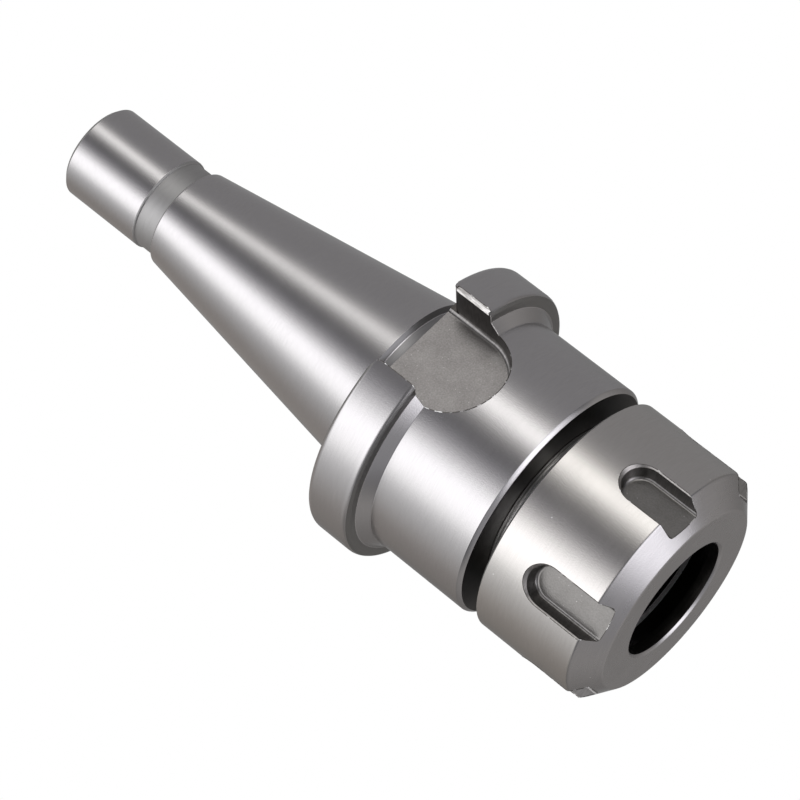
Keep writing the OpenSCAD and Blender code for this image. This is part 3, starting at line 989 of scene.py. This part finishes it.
def burr(piece, name, thick, below_z=math.inf):
    """A bead of that radius in mm along the outer edges of the slots, up to a height in mm."""
    slots = {piece.data.materials.find(m.name) for m in SLOT_FINISHES}
    work_on(piece)
    bpy.ops.object.mode_set(mode="EDIT")
    found = pick(piece, "EDGE", lambda e: len(e.link_faces) == 2 and e.is_convex
                 and middle(e)[1] < below_z
                 and len([f for f in e.link_faces if f.material_index in slots]) == 1)
    bpy.ops.mesh.duplicate()
    bpy.ops.mesh.separate(type="SELECTED")
    bpy.ops.object.mode_set(mode="OBJECT")
    bead = [o for o in bpy.context.selected_objects if o != piece][0]
    bead.name = name
    bead.data.materials.clear()
    work_on(bead)
    bpy.ops.object.convert(target="CURVE")
    bead.data.bevel_depth = thick * MM
    bead.data.bevel_resolution = 1
    bead.data.use_fill_caps = True
    bpy.ops.object.convert(target="MESH")
    bead.data.materials.append(burr_shade_and_glints)
    print(name, "edges:", found, "faces:", len(bead.data.polygons))
    return bead


# %% [markdown]
# The drive slots have the coarser burr. It ends before the rounded mouths, and
# where it crosses the 45-degree slope in front of the flange it gets the white
# filed steel, a painted highlight line.

# %% Leave the burrs
drive_burr = burr(holder, "drive_slot_burr", 0.065, below_z=52.0)
spanner_burr = burr(nut, "spanner_slot_burr", 0.045)
# where the burr crosses the slope it gets a painted highlight
paint(drive_burr, filed_highlight, lambda r, z: 42.95 < z < 44.85)

# %% [markdown]
# ## Which surface was cut how, and where light is painted
# Only the taper, the pilot, the flange and the body were ground. The neck, the
# groove, the ledges and the relief were left as turned. Painted shade darkens
# the groove, the ledges, the gap behind the nut and everything inside, the
# relief's lines carry painted shade and highlights, and a corner of the groove
# gets a painted highlight line. The heights and radii here are those of the
# profile.

# %% Give the holder its finishes
paint(holder, turned, lambda r, z: 102.45 < z < 107.15 or z > 122.3)
# painted shade in the groove behind the flange
paint(holder, groove_shade, lambda r, z: 52.88 < z < 55.58 and r < 15.75, uncut=True)
# a painted highlight line at the groove's corner
paint(holder, line_highlight, lambda r, z: 54.82 < z < 54.98 and r < 15.1)
# painted shade on the ledge in front of the flange
paint(holder, ledge_shade, lambda r, z: 44.6 < z < 44.95 and 22.85 < r < 24.6, uncut=True)
# a thin line of painted shade along the flange's rear edge
paint(holder, ledge_shade, lambda r, z: 52.5 < z < 52.95 and r > 16.5, uncut=True)
# painted shade on the body's front face, the nose, the seat and the drawbar hole
paint(holder, recess_shade, lambda r, z: z < 24.85 and r < 20.45 or z > 80 and r < 6.5 or z < 65 and r < 14)
# painted shade in the relief's grooves and painted highlights on its ridges
paint(holder, relief_shade_and_highlight, lambda r, z: 14.5 < r < 14.7 and 22.2 < z < 24.7)

# %% [markdown]
# The nut's face and chamfer have their own finish and its rear is turned. Its
# inside is darkened with painted shade, but for the lip and a ring on the
# clamping cone, which get painted highlights.

# %% Give the nut its finishes
paint(nut, front, lambda r, z: z < 3.5 and r > 10.4, uncut=True)
paint(nut, turned, lambda r, z: z > 21.42)
# painted shade inside the nut
paint(nut, recess_shade, lambda r, z: r < 16.65 and z > 0.42)
# a painted highlight line on the lip
paint(nut, line_highlight, lambda r, z: 11.2 < r < 13.4 and 7.0 < z < 9.6)
# a painted highlight ring on the clamping cone
paint(nut, ring_highlight, lambda r, z: r < 12.7 and 5.09 < z < 6.01)

# %% [markdown]
# ## Threads
# The CAD model has plain cylinders where the threads are. Here each thread gets
# its ridge: one flat section of it is wound up round the axis with a Screw
# modifier, as a thread tool moves along by one pitch in each turn, and its two
# ends are closed. The ridge is sunk a little into its cylinder.

# %% Helper for a thread
SUNK = 0.06


def thread(name, root, crest, pitch, low, high):
    """A closed right-hand ridge from one radius to another between two heights, all in mm."""
    foot = root - SUNK * (1 if crest > root else -1)
    start = low + 0.4 * pitch
    bpy.ops.object.select_all(action="DESELECT")
    bpy.ops.mesh.primitive_plane_add(size=1, location=((foot + crest) / 2 * MM, 0, start * MM),
                                     rotation=(math.radians(90), 0, 0))
    ridge = bpy.context.object
    ridge.name = name
    ridge.scale = (abs(crest - foot) * MM, 0.8 * pitch * MM, 1)
    bpy.ops.object.transform_apply(location=True, rotation=True, scale=True)
    bpy.ops.object.mode_set(mode="EDIT")
    pick(ridge, "VERT", lambda v: abs(v.co.x - crest * MM) < 1e-6)
    bpy.ops.transform.resize(value=(1, 1, 0.25), center_override=(crest * MM, 0, start * MM))
    bpy.ops.object.mode_set(mode="OBJECT")
    turns = (high - low - 0.8 * pitch) / pitch
    winding = ridge.modifiers.new("winding", "SCREW")
    winding.angle = math.radians(360 * turns)
    winding.screw_offset = pitch * turns * MM
    winding.steps = winding.render_steps = round(72 * turns)
    bpy.ops.object.modifier_apply(modifier=winding.name)
    bpy.ops.object.mode_set(mode="EDIT")
    bpy.ops.mesh.select_all(action="SELECT")
    bpy.ops.mesh.remove_doubles(threshold=1e-6)
    bpy.ops.mesh.fill_holes(sides=4)
    bpy.ops.mesh.select_all(action="SELECT")
    bpy.ops.mesh.normals_make_consistent(inside=False)
    bpy.ops.object.mode_set(mode="OBJECT")
    # the ridge gets the nearly black steel of painted shade
    ridge.data.materials.append(recess_shade)
    print(name, "turns:", round(turns, 2), "faces:", len(ridge.data.polygons))
    return ridge


# %% [markdown]
# The nose and the nut share one pitch, with room between their crests, so that
# the nut turns freely. The drawbar pulls on the coarse thread in the shank.

# %% Wind the threads
nose_thread = thread("nose_thread", 15.08, 15.5, 1.5, 13.9, 21.6)
nut_thread = thread("nut_thread", 16.0, 15.6, 1.5, 12.6, 21.3)
drawbar_thread = thread("drawbar_thread", 6.0, 5.1, 1.75, 97.1, 121.6)

# %% [markdown]
# ## Handing over
# The holder and the nut stand for their CAD nodes and ride on their bodies. A
# turned piece should look round across its facets and sharp at its corners, so
# edges over 18 degrees stay sharp. Weighted normals then keep the big faces
# even next to the slivers that a Boolean leaves.

# %% Smooth and hand over the two big pieces
for piece, body, node, slot in ((holder, "chuck", "holder", "ground_steel"),
                                (nut, "nut", "clamping_nut", "nut_steel")):
    work_on(piece)
    bpy.ops.object.shade_smooth_by_angle(angle=math.radians(18))
    even = piece.modifiers.new("even_shading", "WEIGHTED_NORMAL")
    even.keep_sharp = True
    bpy.ops.object.modifier_apply(modifier=even.name)
    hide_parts(node)
    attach(piece, body)
    print(piece.name, len(piece.data.polygons), "faces")

# %% [markdown]
# The threads and burrs are pieces of their own and move with what they sit on.

# %% Hand over the threads and burrs
for small, body, slot in ((nose_thread, "chuck", "ground_steel"), (nut_thread, "nut", "nut_steel"),
                          (drawbar_thread, "chuck", "ground_steel"),
                          (drive_burr, "chuck", "ground_steel"), (spanner_burr, "nut", "nut_steel")):
    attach(small, body)
    print(small.name, "rides on", body)
